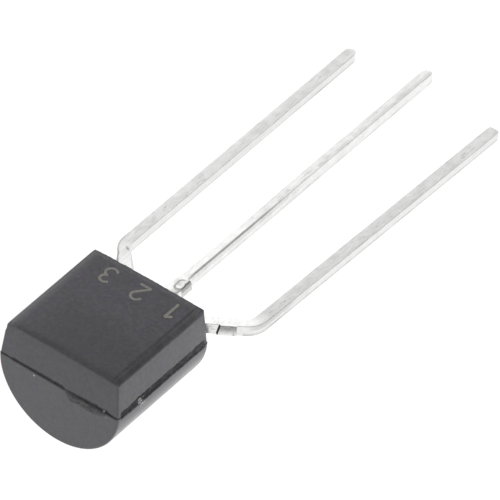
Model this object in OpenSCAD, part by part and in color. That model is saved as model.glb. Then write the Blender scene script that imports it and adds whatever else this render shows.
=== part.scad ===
// Plastic TO-92 transistor with three formed leads, lying marked face up.
// Millimetres. Everything is drawn in the moulding's own axes first: +X across the
// leads, +Y along them, +Z out of the marked flat, with the parting plane at Z = 0 and
// the seating end at Y = 0. as_it_lies() then tips the whole part onto its round back's
// rim and its three lead tips, which is how it comes to rest on a table.

/* [Moulded body] */
// Width of the flat-sided half, at the parting line
body_w = 4.74; // [4.2:0.02:5.0]
// Length from the seating end to the top end, at the parting line
body_len = 4.64; // [4.2:0.02:5.2]
// Height of the marked flat above the parting plane
flat_rise = 1.45; // [1.2:0.05:1.7]
// Radius of the round back
back_r = 2.39; // [2.2:0.01:2.6]
// How far the round half stands proud of the flat-sided half at each end
parting_step = 0.03; // [0.01:0.01:0.08]
// Draft of the two long sides, in degrees
side_draft = 6.0; // [2:0.5:8]
// Draft of the two ends, in degrees
end_draft = 4.0; // [1:0.5:7]
// Edge radius between the marked flat and the long sides
side_edge_r = 0.25; // [0.05:0.01:0.3]
// Edge radius between the marked flat and the ends
end_edge_r = 0.09; // [0.05:0.01:0.25]
// Radius of the upright corners of the flat-sided half
corner_r = 0.10; // [0.04:0.01:0.3]
// Edge radius around both rims of the round back
rim_r = 0.08; // [0.03:0.01:0.2]

/* [Parting groove and gate] */
// Height of the groove along each long side
groove_h = 0.32; // [0.1:0.02:0.4]
// Height of the groove's middle above the parting line
groove_rise = 0.03; // [-0.04:0.01:0.04]
// Depth of that groove below the flat-sided half's wall
groove_depth = 0.03; // [0.01:0.01:0.1]
// Distance that the groove stops short of each end
groove_end = 0.12; // [0.05:0.01:0.5]
// Width of the broken-off gate on the top end
gate_w = 1.65; // [0.8:0.05:2.2]
// Height of the broken-off gate
gate_h = 0.32; // [0.15:0.01:0.5]
// How far the gate's stump stands proud of the top end
gate_proud = 0.04; // [0.01:0.01:0.1]
// Distance of the gate's middle from the body's middle
gate_offset = 1.10; // [-1.2:0.05:1.2]

/* [Leads] */
// Lead width, across
lead_w = 0.42; // [0.36:0.01:0.50]
// Lead and frame thickness
lead_t = 0.38; // [0.33:0.01:0.42]
// Corner radius of the lead's section
lead_edge_r = 0.05; // [0.01:0.01:0.1]
// Radius that each lead tip is rounded to
tip_r = 0.12; // [0.02:0.01:0.15]
// Centre distance of neighbouring leads where they leave the body
lead_pitch = 1.27; // [1.1:0.01:1.4]
// Sideways offset of the lead frame in the moulding
frame_shift = 0.20; // [-0.15:0.01:0.22]
// Bend radius of the outer leads' centre line beside the body
root_bend_r = 0.24; // [0.22:0.01:0.5]
// Bend radius of the outer leads' centre line at the knee
knee_bend_r = 0.66; // [0.3:0.01:0.9]
// Distance from the seating end to the corner of the first bend: emitter, collector
root_len = [0.29, 0.13]; // [0.05:0.01:0.8]
// Sideways place of the knee's corner from the body's middle: emitter, collector
knee_x = [2.335, 3.25]; // [2.0:0.005:3.6]
// Angle between the splayed stretch and the body's length: emitter, collector
splay_angle = [44, 56]; // [35:1:65]
// Sideways place of the lead tips from the body's middle: emitter, base, collector
tip_x = [-2.51, 0.28, 3.64]; // [-4:0.01:4]
// Distance of the lead tips from the seating end: emitter, base, collector
tip_y = [14.86, 15.54, 14.60]; // [10:0.01:20]
// Twist of the base lead about its own length, in degrees
base_twist = 10; // [0:1:15]

/* [Dam bar stubs] */
// Distance along each lead from the seating end to its stubs: emitter, base, collector
stub_start = [1.18, 1.03, 1.13]; // [0.8:0.01:1.4]
// Length of each stub along its lead
stub_len = 0.55; // [0.3:0.01:0.7]
// How far the stubs stand out on the side towards the emitter: emitter, base, collector
stub_proud_left = [0.05, 0.03, 0.02]; // [0.01:0.01:0.2]
// How far the stubs stand out on the side towards the collector: emitter, base, collector
stub_proud_right = [0.03, 0.11, 0.05]; // [0.01:0.01:0.2]

/* [Lead frame inside the body] */
// Width of the frame's necks and of the collector's arm
neck_w = 0.50; // [0.42:0.01:0.6]
// Depth in the body at which the necks begin, inwards from the seating end
neck_start = 0.20; // [0.1:0.01:0.3]
// Width of the bond posts on the base and emitter leads
post_w = 0.72; // [0.6:0.01:0.85]
// Depth in the body at which the bond posts begin
post_start = 1.00; // [0.8:0.01:1.1]
// Length of the bond posts
post_len = 0.45; // [0.3:0.01:0.6]
// Gap between the bond posts and the collector's paddle
post_gap = 0.30; // [0.2:0.01:0.4]
// Moulding left between the paddle and the body's top end
paddle_end_cover = 1.00; // [0.6:0.05:1.3]
// Moulding left between the paddle and the body's emitter side
paddle_side_cover = 1.60; // [1.0:0.05:1.8]

/* [Chip and bond wires] */
// Side of the square silicon die
die_side = 0.70; // [0.5:0.01:0.8]
// Thickness of the silicon die
die_t = 0.20; // [0.1:0.01:0.3]
// Distance from the paddle's near edge to the die
die_setback = 0.35; // [0.2:0.01:0.5]
// Margin of the die attach layer around the die
attach_margin = 0.04; // [0.01:0.01:0.1]
// Thickness of the die attach layer
attach_t = 0.03; // [0.02:0.005:0.05]
// Bond wire diameter
wire_d = 0.05; // [0.03:0.005:0.06]
// Height of each wire's loop above its higher end
wire_loop = 0.22; // [0.1:0.01:0.35]
// Distance of the bond pads from the die's edges
pad_inset = 0.17; // [0.10:0.01:0.19]

/* [Rest] */
// Angle at which the part lies, between the parting plane and the table
rest_tilt = 9.0; // [7:0.1:11]

/* [Hidden] */

EMITTER = 0;
BASE = 1;
COLLECTOR = 2;
eps = 0.05;                 // overlap of pieces of one solid
skirt = 0.30;               // how far inside its outline the flat-sided half reaches into the round one
bend_steps = 8;             // rings in each bend of a lead
tip_steps = 3;              // rings in each rounded tip
wire_steps = 12;            // rings in each bond wire

body_colour = [0.10, 0.10, 0.11];
lead_colour = [0.78, 0.78, 0.77];
die_colour = [0.35, 0.38, 0.45];
attach_colour = [0.62, 0.62, 0.60];
wire_colour = [0.85, 0.65, 0.25];

// ---- derived sizes -------------------------------------------------------------
lead_mid_z = lead_t / 2;
exit_x = [frame_shift - lead_pitch, frame_shift, frame_shift + lead_pitch];
paddle_start = post_start + post_len + post_gap;
paddle_end = body_len - paddle_end_cover;
paddle_left = -(body_w / 2 - paddle_side_cover);
paddle_right = exit_x[COLLECTOR] + neck_w / 2;
die_x = exit_x[BASE];
die_y = -(paddle_start + die_setback + die_side / 2);
die_z = lead_t + attach_t;
die_top = die_z + die_t;
bond_r = 1.2 * wire_d;      // radius of the flattened bond at each wire end
bond_h = 0.8 * wire_d;      // its height
pad_offset = die_side / 2 - pad_inset;
post_y = -(post_start + post_len / 2);

// The table in the moulding's axes: points (y, z) with y sin(t) - z cos(t) = table_depth.
// It touches the round back's rim at the seating end.
table_depth = (parting_step - rim_r) * sin(rest_tilt) + (back_r - rim_r) * cos(rest_tilt) + rim_r;
function table_z(y) = (y * sin(rest_tilt) - table_depth) / cos(rest_tilt);

// Half the height of a lead's section when it is twisted
function half_height(twist) = (lead_w / 2 - lead_edge_r) * sin(twist)
    + (lead_t / 2 - lead_edge_r) * cos(twist) + lead_edge_r;
// Height of a lead's centre line at its tip, where its underside meets the table
function tip_z(i) = table_z(tip_y[i] - tip_r) + half_height(i == BASE ? base_twist : 0);

// Box of the lying part, for its origin at the middle of its base
far_y = tip_y[BASE] * cos(rest_tilt) + tip_z(BASE) * sin(rest_tilt);
near_y = -(body_len + parting_step - rim_r) * cos(rest_tilt) - (back_r - rim_r) * sin(rest_tilt) - rim_r;
mid_x = (tip_x[COLLECTOR] + tip_x[EMITTER]) / 2;

module as_it_lies() {
    translate([-mid_x, -(far_y + near_y) / 2, table_depth])
        rotate([-rest_tilt, 0, 0])
            children();
}

// ---- sweeping a section along a path -------------------------------------------
function unit(v) = v / norm(v);

// Points of a rectangle w x h with rounded corners, counter-clockwise
function rounded_section(w, h, r, steps = 3) = [
    for (corner = [[1, 1, 0], [-1, 1, 90], [-1, -1, 180], [1, -1, 270]], i = [0:steps])
        let (a = corner[2] + 90 * i / steps)
        [corner[0] * (w / 2 - r) + r * cos(a), corner[1] * (h / 2 - r) + r * sin(a)]
];

function round_section(d, steps = 8) = [
    for (i = [0:steps - 1])
        let (a = 360 * i / steps)
        d / 2 * [cos(a), sin(a)]
];

// Rings of a bend of radius r where the line a-b turns into b-c: [point, direction]
function bend_rings(a, b, c, r) =
    let (u = unit(b - a), v = unit(c - b), turn = acos(u * v),
         side = unit(v - u * (u * v)), start = b - u * r * tan(turn / 2), middle = start + side * r)
    [for (i = [0:bend_steps]) let (t = turn * i / bend_steps)
        [middle + r * (sin(t) * u - cos(t) * side), cos(t) * u + sin(t) * side]];

// One ring's points. A ring is [point, direction, twist, width factor, height factor]
function ring_points(section, ring) =
    let (along = ring[1], across = unit(cross(along, [0, 0, 1])), up = cross(across, along))
    [for (p = section)
        let (x = p[0] * ring[3], z = p[1] * ring[4], c = cos(ring[2]), s = sin(ring[2]))
        ring[0] + (x * c - z * s) * across + (x * s + z * c) * up];

module sweep(section, rings) {
    n = len(section);
    last = len(rings) - 1;
    polyhedron(
        points = [for (ring = rings) each ring_points(section, ring)],
        faces = concat(
            [[for (i = [n - 1:-1:0]) i], [for (i = [0:n - 1]) last * n + i]],
            [for (k = [0:last - 1], i = [0:n - 1]) let (j = (i + 1) % n)
                [k * n + i, k * n + j, (k + 1) * n + j, (k + 1) * n + i]]
        ),
        convexity = 4
    );
}

// ---- moulded body --------------------------------------------------------------
// A trapezoid that narrows upwards by the draft, with its two upper corners rounded
module drafted_profile(left, right, rise, draft, r) {
    inset = rise * tan(draft);
    reach = r * tan((90 - draft) / 2);      // from the sharp corner to where the arc begins
    translate([0, -eps]) square_between(left + skirt, right - skirt, 2 * eps);
    polygon([
        [left, 0], [right, 0],
        [right - inset + reach * sin(draft), rise - reach * cos(draft)], [right - inset - reach, rise],
        [left + inset + reach, rise], [left + inset - reach * sin(draft), rise - reach * cos(draft)]
    ]);
    for (x = [left + inset + reach, right - inset - reach])
        translate([x, rise - r]) circle(r = r, $fn = 48);
}

module square_between(left, right, height) {
    translate([left, 0]) square([right - left, height]);
}

module flat_sided_half() {
    intersection() {
        // long sides
        translate([0, eps, 0]) rotate([90, 0, 0])
            linear_extrude(body_len + 2 * eps)
                drafted_profile(-body_w / 2, body_w / 2, flat_rise, side_draft, side_edge_r);
        // ends
        translate([-body_w / 2 - eps, 0, 0]) rotate([90, 0, 90])
            linear_extrude(body_w + 2 * eps)
                drafted_profile(-body_len, 0, flat_rise, end_draft, end_edge_r);
        // upright corners
        translate([0, 0, -eps])
            linear_extrude(flat_rise + 2 * eps)
                rounded_plan();
    }
}

module rounded_plan() {
    half = body_w / 2 - corner_r;
    translate([-half, -body_len]) square([2 * half, body_len]);
    translate([-body_w / 2, -body_len + corner_r]) square([body_w, body_len - 2 * corner_r]);
    for (x = [-half, half], y = [-body_len + corner_r, -corner_r])
        translate([x, y]) circle(r = corner_r, $fn = 48);
}

module round_half() {
    intersection() {
        rotate([-90, 0, 0]) rotate_extrude($fn = 96) rim_profile();
        translate([-back_r - eps, -body_len - 1, -back_r - eps])
            cube([2 * (back_r + eps), body_len + 2, back_r + eps]);
    }
}

// Half section of the round back, from its axis out to its surface
module rim_profile() {
    top = -body_len - parting_step;
    seat = parting_step;
    translate([0, top]) square([back_r - rim_r, seat - top]);
    translate([0, top + rim_r]) square([back_r, seat - top - 2 * rim_r]);
    for (y = [top + rim_r, seat - rim_r])
        translate([back_r - rim_r, y]) circle(r = rim_r, $fn = 48);
}

module side_grooves() {
    floor_x = body_w / 2 - groove_depth;
    for (side = [0, 1])
        mirror([side, 0, 0])
            translate([floor_x, -body_len + groove_end, groove_rise - groove_h / 2])
                cube([1, body_len - 2 * groove_end, groove_h]);
}

// Broken stump of the gate, below the parting line of the top end
module gate_stump() {
    w = gate_w / 2;
    translate([gate_offset, -body_len - parting_step + eps, 0]) rotate([90, 0, 0])
        linear_extrude(eps + gate_proud)
            polygon([[-w, 0], [w, 0], [0.85 * w, -0.35 * gate_h], [0.35 * w, -gate_h],
                     [-0.45 * w, -0.85 * gate_h], [-0.8 * w, -gate_h], [-0.9 * w, -0.3 * gate_h]]);
}

module epoxy_body() {
    color(body_colour)
    difference() {
        union() {
            flat_sided_half();
            round_half();
            gate_stump();
        }
        side_grooves();
        collector_lead();
        base_lead();
        emitter_lead();
        silicon_die();
        die_attach();
        base_bond_wire();
        emitter_bond_wire();
    }
}

// ---- leads ---------------------------------------------------------------------
// Turning points of an outer lead's centre line: inside the body, first bend, knee, tip
function outer_points(i) =
    let (k = i == EMITTER ? 0 : 1, side = i == EMITTER ? -1 : 1, run = side * knee_x[k] - exit_x[i])
    [[exit_x[i], -neck_start - eps, lead_mid_z],
     [exit_x[i], root_len[k], lead_mid_z],
     [side * knee_x[k], root_len[k] + abs(run) / tan(splay_angle[k]), lead_mid_z],
     [tip_x[i], tip_y[i], tip_z(i)]];

// Rings of the rounded tip at the end of the line from a to b
function tip_rings(a, b, twist) =
    let (u = unit(b - a))
    [for (k = [0:tip_steps]) let (t = 90 * k / tip_steps, inset = 2 * tip_r * (1 - cos(t)))
        [b - u * tip_r * (1 - sin(t)), u, twist, 1 - inset / lead_w, 1 - inset / lead_t]];

function plain_rings(rings) = [for (ring = rings) [ring[0], ring[1], 0, 1, 1]];

module outer_leg(i) {
    p = outer_points(i);
    sweep(rounded_section(lead_w, lead_t, lead_edge_r), concat(
        plain_rings([[p[0], [0, 1, 0]]]),
        plain_rings(bend_rings(p[0], p[1], p[2], root_bend_r)),
        plain_rings(bend_rings(p[1], p[2], p[3], knee_bend_r)),
        tip_rings(p[2], p[3], 0)
    ));
}

// The base lead runs straight, and turns to its twist just past its stubs
module base_leg() {
    a = [exit_x[BASE], stub_start[BASE] + stub_len + 2 * eps, lead_mid_z];
    b = [tip_x[BASE], tip_y[BASE], tip_z(BASE)];
    sweep(rounded_section(lead_w, lead_t, lead_edge_r), concat(
        plain_rings([[[exit_x[BASE], -neck_start - eps, lead_mid_z], [0, 1, 0]], [a, [0, 1, 0]]]),
        [[a + (b - a) * 0.05, unit(b - a), base_twist, 1, 1]],
        tip_rings(a, b, base_twist)
    ));
}

// What is left of the dam bar on both sides of a lead
module stubs(i) {
    left = lead_w / 2 + stub_proud_left[i];
    right = lead_w / 2 + stub_proud_right[i];
    translate([-left, 0, lead_edge_r])
        cube([left + right, stub_len, lead_t - 2 * lead_edge_r]);
}

module outer_stubs(i) {
    p = outer_points(i);
    side = i == EMITTER ? -1 : 1;
    k = i == EMITTER ? 0 : 1;
    along = stub_start[i] - root_len[k];
    translate([p[1][0], p[1][1], 0])
        rotate([0, 0, -side * splay_angle[k]])
            translate([0, along, 0])
                stubs(i);
}

module plate(x0, x1, y0, y1) {
    translate([x0, y0, 0]) cube([x1 - x0, y1 - y0, lead_t]);
}

module bond_post(i) {
    x = exit_x[i];
    plate(x - neck_w / 2, x + neck_w / 2, -post_start - eps, -neck_start);
    plate(x - post_w / 2, x + post_w / 2, -post_start - post_len, -post_start);
}

module collector_lead() {
    x = exit_x[COLLECTOR];
    color(lead_colour) union() {
        outer_leg(COLLECTOR);
        outer_stubs(COLLECTOR);
        plate(x - neck_w / 2, paddle_right, -paddle_start - eps, -neck_start);
        plate(paddle_left, paddle_right, -paddle_end, -paddle_start);
    }
}

module base_lead() {
    color(lead_colour) union() {
        base_leg();
        translate([exit_x[BASE], stub_start[BASE], 0]) stubs(BASE);
        bond_post(BASE);
    }
}

module emitter_lead() {
    color(lead_colour) union() {
        outer_leg(EMITTER);
        outer_stubs(EMITTER);
        bond_post(EMITTER);
    }
}

// ---- chip ----------------------------------------------------------------------
module silicon_die() {
    color(die_colour)
    translate([die_x - die_side / 2, die_y - die_side / 2, die_z])
        cube([die_side, die_side, die_t]);
}

module die_attach() {
    side = die_side + 2 * attach_margin;
    color(attach_colour)
    translate([die_x - side / 2, die_y - side / 2, lead_t])
        cube([side, side, attach_t]);
}

// A wire looped from a bond on the die to a bond on a post
module bond_wire(from, to) {
    a = from + [0, 0, bond_h];
    b = to + [0, 0, bond_h];
    rise = wire_loop + abs(a[2] - b[2]) / 2;
    function at(s) = a + (b - a) * s + [0, 0, 4 * rise * s * (1 - s)];
    function heading(s) = unit(b - a + [0, 0, 4 * rise * (1 - 2 * s)]);
    rings = [for (k = [0:wire_steps]) let (s = k / wire_steps) [at(s), heading(s), 0, 1, 1]];
    sweep(round_section(wire_d), rings);
    for (end = [from, to])
        translate(end) cylinder(r = bond_r, h = bond_h + wire_d / 2, $fn = 12);
}

module base_bond_wire() {
    color(wire_colour)
    bond_wire([die_x + pad_offset, die_y + pad_offset, die_top], [exit_x[BASE], post_y, lead_t]);
}

module emitter_bond_wire() {
    color(wire_colour)
    bond_wire([die_x - pad_offset, die_y, die_top], [exit_x[EMITTER], post_y, lead_t]);
}

as_it_lies() epoxy_body();
as_it_lies() collector_lead();
as_it_lies() base_lead();
as_it_lies() emitter_lead();
as_it_lies() silicon_die();
as_it_lies() die_attach();
as_it_lies() base_bond_wire();
as_it_lies() emitter_bond_wire();
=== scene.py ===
"""Looks for the TO-92 transistor: moulded body, tinned leads, pin digits, floor, light and camera.

Shapes are built in the moulding's own axes, in millimetres: +X across the leads, +Y along
them, +Z out of the flat, with the parting plane at Z = 0 and the seating end at Y = 0.
lay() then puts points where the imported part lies, in metres.
"""
from math import acos, asin, ceil, copysign, cos, pi, radians, sin, tan

import bpy
import numpy as np
from mathutils import Matrix, Vector

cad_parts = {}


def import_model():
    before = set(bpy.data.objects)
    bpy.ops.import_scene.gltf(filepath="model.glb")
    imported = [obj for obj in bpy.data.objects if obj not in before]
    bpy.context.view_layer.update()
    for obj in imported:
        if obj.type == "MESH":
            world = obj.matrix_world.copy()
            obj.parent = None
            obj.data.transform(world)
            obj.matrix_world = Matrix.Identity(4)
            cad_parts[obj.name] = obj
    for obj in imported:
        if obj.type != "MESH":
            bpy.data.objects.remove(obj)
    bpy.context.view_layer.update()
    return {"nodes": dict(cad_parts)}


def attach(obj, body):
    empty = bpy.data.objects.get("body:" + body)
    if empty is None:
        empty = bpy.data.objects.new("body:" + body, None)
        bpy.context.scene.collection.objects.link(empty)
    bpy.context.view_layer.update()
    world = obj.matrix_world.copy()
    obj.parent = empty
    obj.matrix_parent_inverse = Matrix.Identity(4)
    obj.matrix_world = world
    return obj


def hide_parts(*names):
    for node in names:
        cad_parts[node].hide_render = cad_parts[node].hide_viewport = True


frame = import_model()

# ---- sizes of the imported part, mm and degrees ----
BODY_W, BODY_LEN, FLAT_RISE = 4.74, 4.64, 1.45
BACK_R, PARTING_STEP, RIM_R = 2.39, 0.03, 0.08
SIDE_DRAFT, END_DRAFT, CORNER_R = 6.0, 4.0, 0.05
GROOVE_LOW, GROOVE_HIGH, GROOVE_DEPTH, GROOVE_END = -0.13, 0.19, 0.03, 0.12
LEAD_W, LEAD_T, LEAD_EDGE_R, TIP_R = 0.42, 0.38, 0.05, 0.12
LEAD_PITCH, FRAME_SHIFT = 1.27, 0.20
TIP_X, TIP_Y = (-2.51, 0.28, 3.64), (14.86, 15.54, 14.60)
STUB_START, STUB_LEN = (1.18, 1.03, 1.13), 0.55
STUB_LEFT, STUB_RIGHT = (0.05, 0.03, 0.02), (0.03, 0.11, 0.05)
BASE_TWIST = 10.0
NECK_W, NECK_START = 0.50, 0.20
POST_W, POST_START, POST_LEN = 0.72, 1.00, 0.45
PADDLE_START, PADDLE_END, PADDLE_LEFT = 1.75, 3.64, -0.77
REST_TILT = 9.0

EMITTER, BASE, COLLECTOR = 0, 1, 2
# The outer leads' forming: straight length at the root, X of the knee, splay in degrees
FORMING = {EMITTER: (0.29, -2.335, 44.0), COLLECTOR: (0.13, 3.25, 56.0)}
ROOT_BEND_R, KNEE_BEND_R = 0.28, 0.66  # the source's root bends have 0.24
EXIT_X = [FRAME_SHIFT - LEAD_PITCH, FRAME_SHIFT, FRAME_SHIFT + LEAD_PITCH]
HALF_W, HALF_LEN = BODY_W / 2, BODY_LEN / 2
TAN_SIDE, TAN_END = tan(radians(SIDE_DRAFT)), tan(radians(END_DRAFT))
SIN_T, COS_T = sin(radians(REST_TILT)), cos(radians(REST_TILT))
DEPTH = (PARTING_STEP - RIM_R) * SIN_T + (BACK_R - RIM_R) * COS_T + RIM_R
MM = 0.001


def half_height(twist):
    a = radians(twist)
    return ((LEAD_W / 2 - LEAD_EDGE_R) * sin(a)
            + (LEAD_T / 2 - LEAD_EDGE_R) * cos(a) + LEAD_EDGE_R)


def tip_z(i):
    table = ((TIP_Y[i] - TIP_R) * SIN_T - DEPTH) / COS_T
    return table + half_height(BASE_TWIST if i == BASE else 0.0)


FAR_Y = TIP_Y[BASE] * COS_T + tip_z(BASE) * SIN_T
NEAR_Y = -(BODY_LEN + PARTING_STEP - RIM_R) * COS_T - (BACK_R - RIM_R) * SIN_T - RIM_R
MID_X = (TIP_X[COLLECTOR] + TIP_X[EMITTER]) / 2


def turn(v):
    """A direction of the moulding's axes, in the row's frame."""
    v = np.asarray(v, float)
    return np.stack([v[..., 0], v[..., 1] * COS_T + v[..., 2] * SIN_T,
                     -v[..., 1] * SIN_T + v[..., 2] * COS_T], -1)


def lay(points):
    """Points of the moulding's axes in mm, as they lie in the row's frame in metres."""
    return (turn(points) + [-MID_X, -(FAR_Y + NEAR_Y) / 2, DEPTH]) * MM


# ---- helpers ----
def smooth(a, b, x):
    """0 at a, 1 at b, with a soft start and end."""
    t = np.clip((np.asarray(x, float) - a) / (b - a), 0, 1)
    return t * t * (3 - 2 * t)


def bell(x, middle, width):
    return np.exp(-((x - middle) / width) ** 2)


def lumps(x, y=0.0, z=0.0, seed=0):
    """Smooth noise from -1 to 1, one lump to a unit."""
    x, y, z = np.broadcast_arrays(*(np.asarray(v, float) for v in (x, y, z)))
    cell = [np.floor(v) for v in (x, y, z)]
    part = [v - c for v, c in zip((x, y, z), cell)]
    part = [f * f * (3 - 2 * f) for f in part]
    total = np.zeros(x.shape)
    for corner in range(8):
        step = [(corner >> k) & 1 for k in range(3)]
        h = sum((c + s) * m for c, s, m in zip(cell, step, (127.1, 311.7, 74.7)))
        value = np.sin(h + seed * 17.3) * 43758.5453
        weight = np.ones(x.shape)
        for f, s in zip(part, step):
            weight = weight * (f if s else 1 - f)
        total += weight * (value - np.floor(value))
    return 2 * total - 1


def to_polygon(x, y, corners):
    """Distance to a polygon's edge, positive inside it."""
    best, inside = np.full(x.shape, 9.0), np.zeros(x.shape, bool)
    for (ax, ay), (bx, by) in zip(corners, corners[1:] + corners[:1]):
        ex, ey = bx - ax, by - ay
        t = np.clip(((x - ax) * ex + (y - ay) * ey) / (ex * ex + ey * ey), 0, 1)
        best = np.minimum(best, np.hypot(x - ax - t * ex, y - ay - t * ey))
        if ay != by:
            inside ^= ((ay > y) != (by > y)) & (x < ex * (y - ay) / ey + ax)
    return np.where(inside, best, -best)


def unit(v):
    v = np.asarray(v, float)
    return v / np.linalg.norm(v)


def quads(a, b, turned=False):
    """Faces from each edge of the closed loop a to the same edge of loop b, or turned over."""
    return [[a[j], b[j], b[m], a[m]] if turned else [a[j], a[m], b[m], b[j]]
            for j, m in enumerate([*range(1, len(a)), 0])]


def tidy_faces(faces, same):
    """Faces with merged points put in, and whatever collapses left out."""
    out = []
    for face in faces:
        ring = [same[v] for v in face]
        ring = [v for v, ahead in zip(ring, ring[1:] + ring[:1]) if v != ahead]
        if len(ring) >= 3:
            out.append(ring)
    return out


def add_object(name, data):
    obj = bpy.data.objects.new(name, data)
    bpy.context.scene.collection.objects.link(obj)
    return obj


def add_mesh(name, points, faces, material, sharp, masks=None):
    """A mesh object of the points in use, with its masks as point attributes."""
    used = sorted({v for f in faces for v in f})
    place = {v: k for k, v in enumerate(used)}
    mesh = bpy.data.meshes.new(name)
    mesh.from_pydata(lay(np.asarray(points)[used]).tolist(), [],
                     [[place[v] for v in f] for f in faces])
    for key, values in (masks or {}).items():
        layer = mesh.attributes.new(key, "FLOAT", "POINT")
        layer.data.foreach_set("value", np.asarray(values, np.float32)[used])
    mesh.shade_smooth()
    mesh.set_sharp_from_angle(angle=radians(sharp))
    mesh.validate()
    mesh.update()
    mesh.materials.append(material)
    return add_object(name, mesh)


# ---- materials ----
class Tree:
    """Short hand for building one node tree."""

    def __init__(self, owner, empty=False):
        owner.use_nodes = True
        self.tree = owner.node_tree
        if empty:
            self.tree.nodes.clear()

    def add(self, kind, inputs=(), **settings):
        """A new node with its settings, and its inputs fed by a value or a link."""
        node = self.tree.nodes.new(kind)
        for key, value in settings.items():
            setattr(node, key, value)
        for key, value in dict(inputs).items():
            self.feed(node.inputs[key], value)
        return node

    def feed(self, socket, value):
        if isinstance(value, (int, float, tuple)):
            socket.default_value = value
        else:
            self.tree.links.new(value, socket)

    def spread(self, value, a, b, low=0.0, high=1.0, curve="LINEAR"):
        return self.add("ShaderNodeMapRange", {
            "Value": value, "From Min": a, "From Max": b, "To Min": low, "To Max": high},
            interpolation_type=curve).outputs["Result"]

    def math(self, operation, a, b=0.0, clamp=False):
        return self.add("ShaderNodeMath", {0: a, 1: b}, operation=operation,
                        use_clamp=clamp).outputs["Value"]

    def times(self, a, b):
        return self.math("MULTIPLY", a, b, clamp=True)

    def mix(self, factor, a, b, kind="RGBA"):
        return self.add("ShaderNodeMix", {"Factor": factor, "A": a, "B": b},
                        data_type=kind).outputs["Result"]


class Material(Tree):
    """A material round the Principled shader, placed by object coordinates."""

    def __init__(self, name):
        self.material = bpy.data.materials.new(name)
        super().__init__(self.material)
        self.place = self.add("ShaderNodeTexCoord").outputs["Object"]

    def scaled(self, x, y, z):
        return self.add("ShaderNodeMapping",
                        {"Vector": self.place, "Scale": (x, y, z)}).outputs["Vector"]

    def noise(self, scale, detail=2.0, roughness=0.5, vector=None, distortion=0.0):
        return self.add("ShaderNodeTexNoise", {
            "Scale": scale, "Detail": detail, "Roughness": roughness,
            "Distortion": distortion, "Vector": vector or self.place}).outputs["Fac"]

    def mask(self, name):
        return self.add("ShaderNodeAttribute", attribute_name=name).outputs["Fac"]

    def bump(self, height, distance, strength, normal=None):
        node = self.add("ShaderNodeBump",
                        {"Strength": strength, "Distance": distance, "Height": height})
        if normal is not None:
            self.feed(node.inputs["Normal"], normal)
        return node.outputs["Normal"]

    def set(self, **sockets):
        names = {"color": "Base Color", "metal": "Metallic", "rough": "Roughness",
                 "ior": "IOR", "normal": "Normal"}
        inputs = self.tree.nodes["Principled BSDF"].inputs
        for key, value in sockets.items():
            self.feed(inputs[names[key]], value)
        return self.material


def grey(level, warm=0.0):
    return (level * (1 + warm), level, level * (1 - warm), 1.0)


def moulding_compound():
    n = Material("moulding_compound")
    fine = n.noise(26000, 3.0, 0.6)
    grain = n.noise(7500, 2.0, 0.6)
    cloud = n.noise(1500, 3.0, 0.55)
    tint = n.noise(2300, 2.0, 0.5, distortion=0.6)
    other = n.noise(3100, 2.0, 0.5, distortion=0.8)
    dark, light = (0.016, 0.0152, 0.0205, 1), (0.0275, 0.0262, 0.034, 1)
    colour = n.mix(n.spread(cloud, 0.32, 0.68), dark, light)
    # the round half is a little paler; then violet and greenish clouds, and pale grain
    round_half = n.mask("round_half")
    for factor, shade in (
            (n.times(round_half, 0.45), (0.05, 0.047, 0.054, 1)),
            (n.spread(tint, 0.44, 0.62, 0.0, 0.8), (0.0285, 0.021, 0.043, 1)),
            (n.spread(other, 0.5, 0.66, 0.0, 0.7), (0.0195, 0.025, 0.025, 1)),
            (n.spread(grain, 0.42, 0.66, 0.0, 0.75), (0.046, 0.044, 0.05, 1)),
            (n.spread(fine, 0.35, 0.75, 0.0, 0.3), (0.06, 0.058, 0.062, 1))):
        colour = n.mix(factor, colour, shade)
    # rare pale filler grains in the moulded skin
    grains = n.add("ShaderNodeTexVoronoi", {"Scale": 5200, "Vector": n.place}, feature="F1")
    rare = n.spread(n.noise(900, 1.0), 0.6, 0.68)
    speck = n.times(n.spread(grains.outputs["Distance"], 0.1, 0.05, 0.0, 0.5), rare)
    colour = n.mix(speck, colour, grey(0.2, 0.05))
    # darkened in the grooves and on the worn edge: rough flash, and painted shade in the recesses
    # and over the flat; then the pale chips, and painted light on the +X wall
    flash_and_shade = n.mask("flash_and_shade")
    dark_flash_and_shade = n.times(n.math("MAXIMUM", flash_and_shade, n.mask("scored_and_shaded")), 0.83)
    colour = n.mix(dark_flash_and_shade, colour, (0.0056, 0.0049, 0.0047, 1))
    fleck_and_painted_light = n.times(n.mask("fleck_and_painted_light"), n.spread(n.noise(30000, 1.0), 0.35, 0.6))
    colour = n.mix(fleck_and_painted_light, colour, grey(0.52, 0.02))
    rough = n.spread(cloud, 0.3, 0.7, 0.27, 0.34)
    rough = n.math("SUBTRACT", rough, n.times(round_half, 0.08))
    dry = n.times(n.math("MINIMUM", flash_and_shade, 1.0), 0.5)
    rough = n.math("ADD", rough, dry, clamp=True)
    normal = n.bump(n.noise(3200, 2.0, 0.5), 0.000004, 0.5)
    normal = n.bump(fine, 0.0000016, 0.55, normal)
    return n.set(color=colour, rough=rough, normal=normal, ior=1.62, metal=0.0)


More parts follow.
